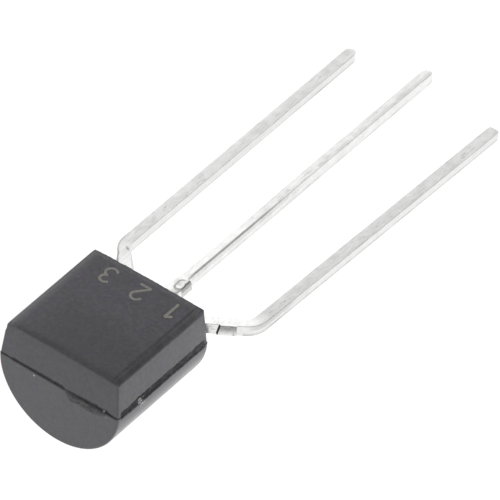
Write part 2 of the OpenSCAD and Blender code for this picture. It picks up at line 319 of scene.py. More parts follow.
def tinned_lead():
    n = Material("tinned_lead")
    streak = n.noise(16000, 4.0, 0.6, n.scaled(1.0, 0.06, 1.0))
    fine = n.noise(42000, 2.0, 0.6, n.scaled(1.0, 0.25, 1.0))
    spots = n.noise(5200, 2.0, 0.55, n.scaled(1.0, 0.35, 1.0))
    cloud = n.noise(2300, 3.0, 0.6)
    bare_and_shade = n.mask("bare_and_shade")
    colour = n.mix(n.spread(cloud, 0.35, 0.7), (0.97, 0.97, 0.965, 1), (0.87, 0.87, 0.865, 1))
    # streaks, dull spots, sheared sides, and bare metal with painted shade
    spotted = n.times(n.spread(spots, 0.62, 0.72), n.spread(fine, 0.45, 0.62))
    patch = n.spread(n.noise(9000, 3.0, 0.6), 0.25, 0.6, 0.75, 1.0)
    for factor, shade in (
            (n.spread(streak, 0.5, 0.7, 0.0, 0.7), (0.7, 0.7, 0.695, 1)),
            (spotted, (0.55, 0.545, 0.52, 1)),
            (n.times(n.mask("sheared"), 0.6), (0.66, 0.66, 0.655, 1)),
            (n.times(bare_and_shade, patch), (0.17, 0.167, 0.158, 1))):
        colour = n.mix(factor, colour, shade)
    rough = n.spread(cloud, 0.3, 0.7, 0.22, 0.34)
    rough = n.math("ADD", rough, n.times(bare_and_shade, 0.15), clamp=True)
    normal = n.bump(n.noise(2600, 2.0, 0.5, n.scaled(1.0, 0.5, 1.0)), 0.00001, 0.5)
    normal = n.bump(streak, 0.0000022, 0.6, normal)
    normal = n.bump(fine, 0.000001, 0.5, normal)
    return n.set(color=colour, rough=rough, normal=normal, metal=1.0)


def laser_mark():
    n = Material("laser_mark")
    pits = n.noise(30000, 3.0, 0.65)
    colour = n.mix(n.spread(pits, 0.3, 0.7), (0.125, 0.118, 0.108, 1), (0.245, 0.232, 0.215, 1))
    return n.set(color=colour, rough=n.spread(pits, 0.3, 0.7, 0.65, 0.85),
                 normal=n.bump(pits, 0.000003, 0.7), metal=0.0, ior=1.45)


def silicon():
    n = Material("silicon")
    grain = n.noise(7000, 2.0, 0.5)
    grid = n.add("ShaderNodeTexBrick", {
        "Scale": 9000, "Vector": n.place, "Color1": grey(0.16, -0.12),
        "Color2": grey(0.2, -0.06), "Mortar": grey(0.45, 0.08)})
    colour = n.mix(n.spread(grain, 0.3, 0.7, 0.1, 0.5), grid.outputs["Color"],
                   (0.11, 0.13, 0.19, 1))
    return n.set(color=colour, metal=0.6, rough=n.spread(grain, 0.3, 0.7, 0.12, 0.25))


def solder():
    n = Material("solder")
    grain = n.noise(18000, 3.0, 0.6)
    colour = n.mix(n.spread(grain, 0.3, 0.7), grey(0.46), grey(0.62, 0.02))
    return n.set(color=colour, metal=1.0, rough=n.spread(grain, 0.3, 0.7, 0.35, 0.55),
                 normal=n.bump(grain, 0.000004, 0.6))


def bond_wire():
    n = Material("bond_wire")
    grain = n.noise(40000, 2.0, 0.5)
    colour = n.mix(n.spread(grain, 0.3, 0.7), (0.9, 0.62, 0.22, 1), (0.98, 0.74, 0.34, 1))
    return n.set(color=colour, metal=1.0, rough=n.spread(grain, 0.3, 0.7, 0.14, 0.26))


COMPOUND, TINNED, MARK = moulding_compound(), tinned_lead(), laser_mark()

# ---- moulded body, built round its middle ----
N_SIDE, N_END, N_CORNER = 112, 152, 6  # steps along a side, an end, an upright corner
# Rows of points: heights below and above the parting plane, degrees round the back, then
# how many up the walls and over the flat's edges
NEAR_BELOW = [0, .02, .04, .06, .08, .1, .115, .125, .135, .145, .16, .18, .2, .225, .25,
              .275, .3, .325, .35, .375, .4, .45]
NEAR_ABOVE = [0, .012, .024, .036, .048, .06, .072, .084, .1, .12, .14, .16, .175, .185,
              .195, .205, .22, .24, .27]
ROUND_ROWS, WALL_ROWS, EDGE_ROWS = np.linspace(13.5, 90, 32), 11, 20

# How the flat runs out at its edges: radii, then the worn +X edge's facets and their drop
LEFT_ARC, FRONT_ARC, SEAT_ARC = 0.09, 0.15, 0.045
BEVEL, BEVEL_DROP = [(0.16, 48.0), (0.18, 15.0)], 0.166
# The flat's fall at its -X side, top end and seating end, its crown, and how far in they reach
SIDE_FALL, END_FALL, SEAT_FALL, CROWN = 0.076, 0.022, 0.012, 0.035
SIDE_RUN, END_RUN, SEAT_RUN = 0.44, 0.28, 0.2

# Where the top end's parting line is open
CREVICE_X, CREVICE_HEIGHT, CREVICE_DEPTH = np.array([
    (-2.38, 0.02, 0.003), (-2.2, 0.06, 0.008), (-2.02, 0.05, 0.007), (-1.94, 0.01, 0.001),
    (-1.86, 0.09, 0.013), (-1.15, 0.095, 0.015), (-0.35, 0.105, 0.016), (0.15, 0.1, 0.018),
    (0.3, 0.03, 0.006), (0.42, 0.035, 0.008), (0.8, 0.065, 0.014), (1.3, 0.09, 0.018),
    (1.48, 0.11, 0.034), (1.62, 0.06, 0.02), (1.9, 0.09, 0.032), (2.02, 0.04, 0.014),
    (2.38, 0.02, 0.008)]).T
# Edge of the rough gate scar below the parting line, (x, z)
SCAR = [(0.31, 0.0), (0.33, -0.09), (0.5, -0.31), (0.67, -0.29), (0.86, -0.25), (1.07, -0.28),
        (1.26, -0.295), (1.41, -0.26), (1.56, -0.235), (1.72, -0.17), (1.88, -0.1), (1.93, 0.0)]
# Small pale chips, (x, y from the body's middle, z, radius)
CHIPS = [
    (-0.965, -2.35, -0.135, 0.045), (-1.615, -2.35, -0.129, 0.03), (1.8, -2.31, 0.025, 0.05),
    (1.9, -2.37, -0.16, 0.035), (-0.181, -2.24, 1.42, 0.042), (0.175, -2.24, 1.43, 0.036),
    (0.696, -2.24, 1.42, 0.045), (-1.769, 0.794, 1.45, 0.03), (-1.591, -0.041, 1.45, 0.022),
    (-1.983, -1.419, 1.45, 0.042), (2.34, -1.2, -0.11, 0.06), (2.37, -1.08, -0.17, 0.065),
    (2.37, -0.99, -0.26, 0.04), (2.3, -1.28, 0.02, 0.04), (2.32, -1.14, 0.04, 0.035),
    (2.39, -0.92, -0.21, 0.035), (2.38, -1.13, -0.28, 0.028), (2.33, -0.98, 0.0, 0.03),
    (2.33, -1.18, 0.03, 0.075), (2.34, -1.1, -0.06, 0.07), (2.35, 0.64, -0.14, 0.022),
    (0.95, -2.38, -0.13, 0.025)]


def round_trip():
    """Once round the plan from the +X side's -Y end: outward normal and anchor of each point."""
    rows = []
    for quarter in range(4):
        a0 = quarter * 90.0
        sign = 1 if quarter < 2 else -1
        steps = N_END if quarter % 2 else N_SIDE
        for k in range(steps):
            u = 2 * k / steps - 1
            kx, ky = (-sign * u, sign) if quarter % 2 else (sign, sign * u)
            rows.append((cos(radians(a0)), sin(radians(a0)), kx, ky))
        kx, ky = [(1, 1), (-1, 1), (-1, -1), (1, -1)][quarter]
        for k in range(N_CORNER):
            a = radians(a0 + 90.0 * k / N_CORNER)
            rows.append((cos(a), sin(a), kx, ky))
    return np.array(rows).T


CA, SA, KX, KY = round_trip()
CA[np.abs(CA) < 1e-12] = 0
SA[np.abs(SA) < 1e-12] = 0
ON_SIDE, ON_FRONT, ON_SEAT = np.abs(CA) == 1, SA == -1, SA == 1
LEDGE_Y = HALF_LEN + PARTING_STEP / 2  # between the end walls of the two halves


def wall_ring(hx, hy, corner, z_side, z_end):
    x = KX * (hx - corner) + corner * CA
    y = KY * (hy - corner) + corner * SA
    weight = CA * CA
    return np.stack([x, y, z_side * weight + z_end * (1 - weight)], 1)


def cut_groove(x, y, z, flash_and_shade):
    """Long sides: a rough groove where the mould halves met."""
    s = ON_SIDE
    ys, zs, side = y[s], z[s], np.sign(x[s])
    low = (GROOVE_LOW + 0.04 + 0.016 * lumps(ys * 3.1, side, seed=1)
           + 0.015 * lumps(ys * 11, side, seed=2) + 0.011 * lumps(ys * 25, side, seed=12))
    high = (GROOVE_HIGH + 0.022 + 0.014 * lumps(ys * 2.3, side, seed=3)
            + 0.017 * lumps(ys * 13, side, seed=4) + 0.011 * lumps(ys * 27, side, seed=13)
            - 0.06 * bell(ys, -1.75, 0.22) - 0.04 * smooth(-1.9, -2.2, ys))
    reach = HALF_LEN - GROOVE_END - 0.04
    band = (smooth(low - 0.008, low + 0.008, zs) * smooth(high + 0.01, high - 0.01, zs)
            * smooth(reach + 0.03, reach - 0.03, np.abs(ys)))
    floor = (HALF_W - GROOVE_DEPTH - 0.01 * (1 + lumps(ys * 9, zs * 22, side, seed=5))
             - 0.01 * lumps(ys * 21, zs * 40, side, seed=14))
    x[s] = side * (np.abs(x[s]) * (1 - band) + np.minimum(np.abs(x[s]), floor) * band)
    # the groove is darkened: rough flash in part, painted shade of the recess in part
    dark_flash_and_shade = (1.08 + 0.34 * lumps(ys * 6.5, zs * 10, side, seed=16)).clip(0.5, 1.2)
    # the flat's -X edge is dark too
    edge = smooth(FLAT_RISE - 0.003, FLAT_RISE - 0.012, zs) * (zs > FLAT_RISE - 0.09) * (side < 0)
    flash_and_shade[s] = np.maximum(band * dark_flash_and_shade * (1 - 0.3 * smooth(0.4, 1.6, ys)), 0.8 * edge)


def open_crevice(x, y, z, flash_and_shade):
    """Top end: the parting line gapes above the ledge."""
    f = ON_FRONT
    xs, zs = x[f], z[f]
    wave = 1 + 0.38 * lumps(xs * 9, seed=6) + 0.22 * lumps(xs * 27, seed=7)
    height = np.interp(xs, CREVICE_X, CREVICE_HEIGHT) * wave
    depth = np.interp(xs, CREVICE_X, CREVICE_DEPTH)
    on_wall = (np.abs(y[f]) < LEDGE_Y) & (zs >= 0)
    gap = on_wall * smooth(height + 0.1, height * 0.2, zs)
    line = on_wall * smooth(height + 0.035, height * 0.6, zs)
    y[f] += gap * depth
    # painted shade in the open gap above the ledge and along its line
    flash_and_shade[f] = np.maximum(0.38 * gap, 0.58 * line) * smooth(0.002, 0.014, depth)


def cut_seam(x, y, z, flash_and_shade):
    """Seating end: the same seam, finer, and a slightly ragged edge at the flat."""
    e = ON_SEAT
    xs, zs = x[e], z[e]
    seam = smooth(0.035, 0.015, zs) * (zs >= 0) * (y[e] < LEDGE_Y)
    y[e] -= 0.018 * seam * (1 + 0.5 * lumps(xs * 7, seed=8))
    # painted shade along the seam
    flash_and_shade[e] = 0.8 * seam
    ragged = 0.004 + 0.012 * lumps(xs * 5.5, seed=17) + 0.009 * lumps(xs * 14, seed=19)
    y[e] -= ragged * smooth(FLAT_RISE - 0.14, FLAT_RISE - 0.03, zs)


def break_gate(x, y, z, flash_and_shade):
    """Top end: the broken gate's scar below the parting line, and the ledge's uneven lip."""
    below = ON_FRONT & (z <= 0) & (np.abs(y) > LEDGE_Y)
    xs, zs = x[below], z[below]
    inside = to_polygon(xs, zs, SCAR)
    torn = 0.5 + 0.5 * lumps(xs * 13, zs * 19, seed=9)
    proud = 0.01 + 0.014 * torn + 0.005 * lumps(xs * 34, zs * 34, seed=10)
    rut = 0.012 * bell(inside, 0, 0.014) * smooth(0.01, -0.03, zs)
    y[below] -= smooth(-0.005, 0.03, inside) * proud - rut
    pits = smooth(0.1, 0.7, lumps(xs * 24, zs * 30, seed=15))
    shadow = smooth(0.002, 0.014, np.interp(xs, CREVICE_X, CREVICE_DEPTH))
    # darkened: painted shade in the rut round the scar, a painted shadow below the open parting
    # line, and the scar's own rough, pitted face
    flash_and_shade[below] = np.maximum.reduce([
        0.85 * bell(inside, 0, 0.02) * smooth(0.0, -0.04, zs),
        smooth(0, 0.02, inside) * np.maximum(0.55 + 0.35 * smooth(0.7, 0.3, torn), pits),
        0.6 * smooth(-0.095, -0.02, zs) * shadow])
    y[below] += 0.019 * smooth(-0.045, 0.0, zs)
    lip = below & (z > -0.07)
    y[lip] += 0.009 * lumps(x[lip] * 8, z[lip] * 10, seed=11)


def bevel(half):
    """The worn +X edge of the flat: two facets with rounded joins, from the wall up."""
    foot = FLAT_RISE - BEVEL_DROP
    pts = [(half - z * TAN_SIDE, z) for z in (foot - 0.05, foot)]
    for length, slope in BEVEL:
        x, z = pts[-1]
        a = radians(slope)
        pts.append((x - length * cos(a), z + length * sin(a)))
    pts.append((pts[-1][0] - 0.04, FLAT_RISE))
    # cutting its corners twice makes EDGE_ROWS points of five
    for _ in range(2):
        cut = [pts[0]]
        for a, b in zip(pts, pts[1:]):
            cut += [tuple((1 - f) * p + f * q for p, q in zip(a, b)) for f in (0.25, 0.75)]
        pts = cut + [pts[-1]]
    return pts


def arc(r, draft, half):
    """A rounded edge of the flat, from the wall up, with as many points as the bevel."""
    d = radians(draft)
    centre = (half * cos(d) - r - (FLAT_RISE - r) * sin(d)) / cos(d)
    return [(centre + r * cos(a), FLAT_RISE - r + r * sin(a))
            for a in np.linspace(d, pi / 2, EDGE_ROWS)]


def roll_off(points):
    """How far the flat lies below a true plane: a faint crown, and a soft fall to its edges."""
    x, y, z = points.T
    half_x, half_y = HALF_W - FLAT_RISE * TAN_SIDE, HALF_LEN - FLAT_RISE * TAN_END

    def near(distance, run):
        return np.clip(1 - distance / run, 0, 1.3) ** 2

    fall = CROWN * (x / half_x) ** 2 * np.where(x < 0, 1 - 0.5 * y / half_y, 1.0)
    fall += SIDE_FALL * (1 - 0.5 * y / half_y) * near(half_x + x, SIDE_RUN)
    fall += np.where(y < 0, END_FALL * near(half_y + y, END_RUN),
                     SEAT_FALL * near(half_y - y, SEAT_RUN))
    return fall * smooth(0.9, 1.3, z)


def chipped(points):
    """Where the pale chips are."""
    fleck_and_painted_light = np.zeros(len(points))
    for cx, cy, cz, r in CHIPS:
        d = np.sqrt(((points - [cx, cy, cz]) ** 2).sum(1))
        fleck_and_painted_light = np.maximum(fleck_and_painted_light, smooth(r, r * 0.35, d))
    return fleck_and_painted_light


def rubbed(points):
    """Pale rubbed lines just inside the flat's -X and seating edges."""
    x, y, z = points.T
    left = 0.085 * bell(x, -2.065, 0.055) + 0.02 * smooth(-1.8, -2.05, x)
    seat = 0.07 * bell(y, 2.055, 0.055)
    return (np.maximum(left, seat) * (1 + 0.3 * lumps(x * 6, y * 6, seed=18))
            * smooth(FLAT_RISE - 0.2, FLAT_RISE - 0.12, z))


def scored_and_shaded(points):
    """Two fine dark lines along the worn +X edge, and the dull facet below them."""
    x, y, z = points.T
    drop = z - FLAT_RISE
    facet = 0.95 * smooth(-0.165, -0.12, drop) * smooth(-0.045, -0.06, drop)
    lines = np.maximum(bell(drop, -0.052, 0.016) + bell(drop, -0.012, 0.01), facet)
    return lines * (x > 1.85) * (drop < -1e-4) * (0.75 + 0.25 * lumps(y * 4, seed=21))


def painted_shade(points):
    """Painted shade: the flat darker towards the top end, and the wall below it."""
    x, y, z = points.T
    flat = (0.45 * smooth(0.4, -1.0, y) * smooth(-1.8, -0.7, x)
            * (z > FLAT_RISE - 0.06) * (x < 2.0))
    wall = (0.24 + 0.2 * smooth(0.8, 1.3, z)) * smooth(-2.0, -1.4, x) * (y < -2.15) * (z > 0)
    return np.maximum(flat, wall)


def painted_light(points):
    """Painted light: the +X wall paler towards the seating end."""
    x, y, z = points.T
    return ((0.02 * smooth(-0.6, 0.8, y) + 0.045 * smooth(1.0, 2.1, y))
            * (x > 2.0) * smooth(0.15, 0.3, z))


def build_body():
    rings, masks = [], []

    def add(ring):
        """Adds a ring with the mould's marks cut in, and how dark each point is: rough flash, and
        painted shade in the recesses.
        """
        flash_and_shade = np.zeros(len(ring))
        for cut in (cut_groove, open_crevice, cut_seam, break_gate):
            cut(*ring.T, flash_and_shade)
        rings.append(ring)
        masks.append(flash_and_shade)

    # round half, from its lowest line up to the parting plane
    angles = [asin(h / BACK_R) for h in NEAR_BELOW] + list(np.radians(ROUND_ROWS))
    reach, end = BACK_R - RIM_R, HALF_LEN + PARTING_STEP - RIM_R
    for a in reversed(angles):
        add(np.stack([(KX * reach + RIM_R * CA) * cos(a), KY * end + RIM_R * SA,
                      -(reach + RIM_R * np.abs(CA)) * sin(a)], 1))
    # flat-sided half: walls
    for z in NEAR_ABOVE:
        add(wall_ring(HALF_W - z * TAN_SIDE, HALF_LEN - z * TAN_END, CORNER_R, z, z))
    borders = [bevel(HALF_W), arc(LEFT_ARC, SIDE_DRAFT, HALF_W),
               arc(FRONT_ARC, END_DRAFT, HALF_LEN), arc(SEAT_ARC, END_DRAFT, HALF_LEN)]

    def border_ring(at, z, corner):
        add(wall_ring(np.where(KX > 0, at[0], at[1]), np.where(KY < 0, at[2], at[3]), corner,
                      np.where(KX > 0, z[0], z[1]), np.where(KY < 0, z[2], z[3])))

    top = NEAR_ABOVE[-1]
    for f in np.linspace(0, 1, WALL_ROWS)[1:-1]:
        z = [top + (edge[0][1] - top) * f for edge in borders]
        border_ring([HALF_W - z[0] * TAN_SIDE, HALF_W - z[1] * TAN_SIDE,
                     HALF_LEN - z[2] * TAN_END, HALF_LEN - z[3] * TAN_END], z, CORNER_R)
    for k in range(EDGE_ROWS):
        at, z = zip(*(edge[k] for edge in borders))
        border_ring(at, z, CORNER_R * (1 - 0.5 * k / EDGE_ROWS))

    n = len(CA)
    points, flash_and_shade = np.concatenate(rings), np.concatenate(masks)
    loops = np.arange(len(points)).reshape(-1, n).tolist()
    faces = [face for a, b in zip(loops, loops[1:]) for face in quads(a, b)]
    # the lowest ring folds onto its own middle line
    same, first = list(range(len(points))), {}
    for i in range(n):
        same[i] = first.setdefault(tuple(points[i, 1:].round(5)), i)
    # and where the groove has cut the ledge at the parting plane away, its two edges are one
    lower, upper = (len(angles) - 1) * n, len(angles) * n
    for i in range(n):
        if np.abs(points[lower + i] - points[upper + i]).max() < 1e-5:
            same[upper + i] = same[lower + i]
    faces = tidy_faces(faces, same)
    # marked flat: a grid inside the last ring
    last = (len(rings) - 1) * n
    nv, nu = N_SIDE + N_CORNER, N_END + N_CORNER
    walk = [last + (i - N_CORNER // 2) % n for i in range(n)]
    grid = np.zeros((nv + 1, nu + 1), int)
    grid[:, nu], grid[:, 0] = walk[:nv + 1], walk[nv + nu:2 * nv + nu + 1][::-1]
    grid[nv, :], grid[0, :] = walk[nv:nv + nu + 1][::-1], walk[2 * nv + nu:] + walk[:1]
    e, w = points[grid[:, nu]][:, None], points[grid[:, 0]][:, None]
    t, b = points[grid[nv]][None], points[grid[0]][None]
    u = np.linspace(0, 1, nu + 1)[None, :, None]
    v = np.linspace(0, 1, nv + 1)[:, None, None]
    inner = (1 - u) * w + u * e + (1 - v) * b + v * t - (
        (1 - u) * (1 - v) * b[:, :1] + u * (1 - v) * b[:, -1:]
        + (1 - u) * v * t[:, :1] + u * v * t[:, -1:])
    inner = inner[1:-1, 1:-1].reshape(-1, 3)
    grid[1:-1, 1:-1] = len(points) + np.arange(len(inner)).reshape(nv - 1, nu - 1)
    grid = grid.tolist()
    points = np.concatenate([points, inner])
    flash_and_shade = np.concatenate([flash_and_shade, np.zeros(len(inner))])
    for row, above in zip(grid, grid[1:]):
        faces += [[row[j], row[j + 1], above[j + 1], above[j]] for j in range(nu)]
    # dark: the scored lines and facet, and painted shade on the flat and the wall below it
    dark = np.maximum(scored_and_shaded(points), painted_shade(points))
    points[:, 2] -= roll_off(points)
    # pale: the chips, the rubbed lines, and painted light on the +X wall
    pale = np.maximum.reduce([chipped(points), rubbed(points), painted_light(points)])
    points[:, 1] -= HALF_LEN
    return add_mesh("moulded_body", points, faces, COMPOUND, 42.0, {
        "flash_and_shade": flash_and_shade, "fleck_and_painted_light": pale, "scored_and_shaded": dark,
        "round_half": smooth(0.004, -0.004, points[:, 2])})


# ---- leads ----
STEP_RIM = 0.018  # how far each step in a lead's width slopes
TIP_BACK = 0.014  # the leads end this much short of the CAD box
GAP_NEAR, GAP_FAR, NEAR_END = 0.03, 0.075, 2.3  # rows along a lead, closer near the body
TIP_ROWS, FACE_STEPS = 10, 12
END_RINGS, END_DULL = (0.6, 0.25), 0.55  # a cut end's inner rings, and its dullness
# How each lead's end is shaped: length of its rounding, and how far it narrows and thins
TIP_SHAPE = [(0.26, 0.19, 0.012), (0.24, 0.15, 0.03), (0.1, 0.07, 0.014)]
TIP_LIFT = [0.2, 0.18, 0.08]
TIP_DULL = [0.35, 0.15, 0.85]
# Each lead's stray to the side and its twist in degrees, at distances from the body
SWAY = [([0.8, 2.0], [0.0, 0.02]),
        ([0.8, 1.8, 5.0, 9.0, 15.0], [0.0, 0.028, 0.028, 0.0, 0.01]),
        ([0], [0])]
TWIST = [([1.3, 2.3], [12.0, 0.0]), ([0.7, 1.7, 10.0, 15.0], [2.0, 16.0, 12.0, 8.0]),
         ([1.9, 3.0], [9.0, 0.0])]
DOME = [0.003, 0.016, 0.003]  # crown of the upper face
FACING = 0.7  # least part of a normal that faces up or aside
EDGE_R = 0.012  # of the outer leads; the base lead's is worn rounder near the body
WAVE, RIPPLE = 0.0022, 0.0012
BASE_WIDENS, BASE_NARROWS = 0.45, 0.018  # where it begins to; by how much beyond its stub
SLANT, SLANT_BACK = 0.24, 0.04  # of the start of the collector lead's stub
TIP_CURL, TIP_CURL_LEN = 0.17, 0.14


def past(mark, s):
    """0 before a step along a lead and 1 after it."""
    return smooth(mark - STEP_RIM / 2, mark + STEP_RIM / 2, s)


def before(mark, s):
    return smooth(mark + STEP_RIM / 2, mark - STEP_RIM / 2, s)


def bend(a, b, c, r, steps):
    """Points and directions round a bend of radius r where a-b turns into b-c."""
    u, v = unit(b - a), unit(c - b)
    angle = acos(float(u @ v))
    side = unit(v - u * (u @ v))
    middle = b - u * r * tan(angle / 2) + side * r
    return [(middle + r * (sin(t) * u - cos(t) * side),
             cos(t) * u + sin(t) * side) for t in np.linspace(0, angle, steps + 1)]


def section(left, right, high, radius, dome, steps):
    """Rounded rectangle from -left to right and -high to high, its upper face domed a little."""
    pts, nrm = [], []
    corners = [(right, high), (-left, high), (-left, -high), (right, -high)]
    centres = [(x - copysign(radius, x), z - copysign(radius, z)) for x, z in corners]
    for k, (cx, cz) in enumerate(centres):
        for i in range(steps + 1):
            a = radians(90 * k + 90 * i / steps)
            pts.append((cx + radius * cos(a), cz + radius * sin(a)))
            nrm.append((cos(a), sin(a)))
        # and along the straight side after it
        cx, cz = centres[(k + 1) % 4]
        p, q = np.array(pts[-1]), np.array((cx + radius * cos(a), cz + radius * sin(a)))
        for f in np.linspace(0, 1, FACE_STEPS + 1)[1:-1]:
            pts.append(p + (q - p) * f)
            nrm.append((cos(a), sin(a)))
    pts, nrm = np.array(pts), np.array(nrm)
    u = np.clip(2 * (pts[:, 0] + left) / (left + right) - 1, -1, 1)
    pts[:, 1] += dome * ((1 - u * u) - 0.5) * smooth(0, high, pts[:, 1])
    return pts, nrm


def stations(marks, gap):
    """Distances along a lead, gap apart, with a close pair at each sharp step."""
    out = []
    for a, b in zip(marks, marks[1:]):
        count = max(1, ceil((b - a) / gap))
        out += list(np.linspace(a, b, count, endpoint=False))
    return out + [marks[-1]]


def lead_path(i):
    """Centre line as a list of (point, direction), from inside the body to the tip."""
    inner = PADDLE_END if i == COLLECTOR else POST_START + POST_LEN
    along = np.array([0, 1.0, 0])

    def level(x, y):
        return np.array([x, y, LEAD_T / 2])

    start, tip = level(EXIT_X[i], -inner), np.array([TIP_X[i], TIP_Y[i], tip_z(i)])
    if i == BASE:
        a = level(EXIT_X[i], STUB_START[i] + STUB_LEN + 0.1)
        b = a + (tip - a) * 0.05
        return [(start, along), (a, along), (b, unit(tip - a)), (tip, unit(tip - a))]
    root_len, knee_x, splay = FORMING[i]
    run = abs(knee_x - EXIT_X[i])
    corner = level(EXIT_X[i], root_len)
    knee = level(knee_x, root_len + run / tan(radians(splay)))
    return ([(start, along)] + bend(start, corner, knee, ROOT_BEND_R, 20)
            + bend(corner, knee, tip, KNEE_BEND_R, 24) + [(tip, unit(tip - knee))])


def lead_rows(i, inner, total):
    """(distance, inset) of each row of points: inset goes from 0 to 1 round the tip's end."""
    reach = TIP_SHAPE[i][0]
    stub = STUB_START[i]
    inside = -PADDLE_START if i == COLLECTOR else -POST_START
    marks = {-inner, total - reach}
    for step in (inside, -NECK_START, 0.0, stub, stub + STUB_LEN):
        marks |= {round(m, 5) for m in (step - STEP_RIM, step, step + STEP_RIM)}
    marks = sorted(marks)
    at = ([s for s in stations(marks, GAP_NEAR) if s < NEAR_END]
          + [s for s in stations(marks, GAP_FAR) if s >= NEAR_END])
    if i == COLLECTOR:
        # close rows where its stub begins on a slant
        at = sorted(set(at) | set(np.linspace(stub - 0.16, stub + 0.12, 24).round(5)))
    rows = [(s, 0.0) for s in at]
    for k in range(1, TIP_ROWS + 1):
        t = pi / 2 * k / TIP_ROWS
        rows.append((total - reach * (1 - sin(t)), 1 - cos(t)))
    return rows


def half_widths(i, s, ends, on_stub):
    """How far a lead reaches to its left and right at distance s."""
    stub = STUB_START[i]
    left = right = LEAD_W / 2 - BASE_NARROWS * smooth(1.6, 2.0, s) * (i == BASE)
    left += STUB_LEFT[i] * on_stub * (
        smooth(stub + STUB_LEN + 0.02, stub + 0.2, s) if i == EMITTER else 1.0)
    if i == BASE:
        right += STUB_RIGHT[i] * ends * np.clip((s - BASE_WIDENS) / (stub - BASE_WIDENS), 0, 1)
    elif i == EMITTER:
        right += STUB_RIGHT[i] * on_stub
    if s < 0:
        # inside the body: a neck, then the bond post or the chip's paddle
        wider = (NECK_W - LEAD_W) / 2 * before(-NECK_START, s)
        if i == COLLECTOR:
            left += (EXIT_X[i] - PADDLE_LEFT - NECK_W / 2) * before(-PADDLE_START, s)
        else:
            wider += (POST_W - NECK_W) / 2 * before(-POST_START, s)
        left, right = left + wider, right + wider
    return left, right


# The wear and painted shade of each lead at distance s from the body: u across and v up, nu and nv
# the section's normal, torn its sheared sides. Each gives how far the metal moves, and its masks of
# dull metal and painted shade.
def emitter_wear_and_shade(s, u, v, nu, nv, right, torn, left_rim):
    stub = STUB_START[EMITTER]
    # the notch left at the inner side of its stub, with painted shade in it
    notch = bell(u, 0.14, 0.045) * bell(s + 0.9 * (u - 0.14), stub + 0.66, 0.085)
    return -0.02 * notch * (nv > FACING), [
        torn * (u > 0) * 0.35,
        0.9 * notch * (v > 0),
        0.7 * (nu < -0.5) * bell(s, stub, 0.02),
        # dark left edge from the body round the first bend
        left_rim * max(0.85 * smooth(2.1, 1.7, s), 0.5 * smooth(2.9, 2.2, s))]


def base_wear_and_shade(s, u, v, nu, nv, right, torn, left_rim):
    stub, top = STUB_START[BASE], nv > FACING
    on_stub = past(stub, s) * before(stub + STUB_LEN, s)
    # a shallow dent on top, with painted shade in it
    dent = bell(u, 0.12, 0.13) * bell(s + 0.25 * u, 1.26, 0.13) * top
    # the torn-off stub's outline on top
    away = np.hypot((u - 0.12) * 1.1, (s - 1.23) * 0.75) * (1 + 0.22 * lumps(u * 6, s * 5, seed=72))
    broken = smooth(-1.0, 0.4, lumps(u * 9, s * 9, seed=63))
    # a line of painted shade along its upper right edge, breaking up and fading out
    ridge = right - 0.55 * edge_radius(BASE, s)
    solid = smooth(1.65, 1.85, s) * smooth(8.5, 4.5, s) * (0.85 + 0.15 * lumps(s * 2.3, seed=66))
    dull_and_shade = [
        0.25 * dent,
        torn * (u > 0) * smooth(0.1, -0.05, v) * 0.3,
        0.9 * on_stub * bell(u, right - 0.02, 0.038) * (v > 0),
        0.85 * bell(away, 0.17, 0.04) * top * broken,
        0.2 * bell(u, -0.1, 0.1) * bell(s, 1.4, 0.16) * top,
        0.62 * bell(u, ridge, 0.028) * (v > 0) * solid,
        # a broad dull streak towards its tip
        0.28 * smooth(10.8, 12.5, s) * bell(u, right - 0.11, 0.05) * top]
    # two fine scratches wander off the scraped line over the top
    for shift, start, stop, seed in ((-0.05, 5.6, 9.8, 62), (-0.13, 7.4, 11.5, 67)):
        where = ridge + shift + 0.035 * lumps(s * 1.6, seed=seed)
        on = (smooth(start, start + 0.8, s) * smooth(stop, stop - 0.8, s)
              * smooth(-0.5, 0.3, lumps(s * 4.0, seed=seed + 1)))
        dull_and_shade.append(0.42 * on * bell(u, where, 0.026) * top)
    return -0.035 * dent, dull_and_shade


def collector_wear_and_shade(s, u, v, nu, nv, right, torn, left_rim):
    stub, outer = STUB_START[COLLECTOR], nu > 0.5
    slant = slanted(v)
    notch = outer * np.exp(-((s - slant) / 0.026) ** 4) * smooth(-0.19, -0.13, v)
    # the stretch next to the body is crumbled
    crumbs = outer * smooth(0.55, 0.75, s) * smooth(slant.min(), slant.min() - 0.1, s)
    crumbled = smooth(0.25, 0.7, lumps(v * 24, s * 24, seed=60))
    return crumbs * 0.002 * lumps(v * 22, s * 18, seed=61) - 0.02 * notch, [
        # its stub facing outwards: upper half sheared dull, bare metal with painted shade; a notch
        # of painted shade at its slanted start; sharp end
        torn * (u > 0) * smooth(-0.16, 0.1, v) * 0.78 * smooth(slant, slant + 0.04, s),
        notch,
        0.7 * outer * bell(s, stub + STUB_LEN - 0.09, 0.022),
        0.45 * crumbs * crumbled,
        0.3 * bell(u, right, 0.035) * (v > 0) * smooth(1.9, 2.3, s) * smooth(4.6, 3.4, s),
        0.3 * left_rim * smooth(-0.3, 0.3, lumps(s * 1.1, seed=70)) * smooth(4.0, 6.0, s)]


WEAR_AND_SHADE = (emitter_wear_and_shade, base_wear_and_shade, collector_wear_and_shade)


def edge_radius(i, s):
    return EDGE_R + (0.043 * smooth(8.0, 4.5, s) - 0.004 * smooth(11.0, 13.0, s)) * (i == BASE)


def slanted(v):
    """Where the collector lead's stub begins, by height."""
    return STUB_START[COLLECTOR] - SLANT_BACK + SLANT * v


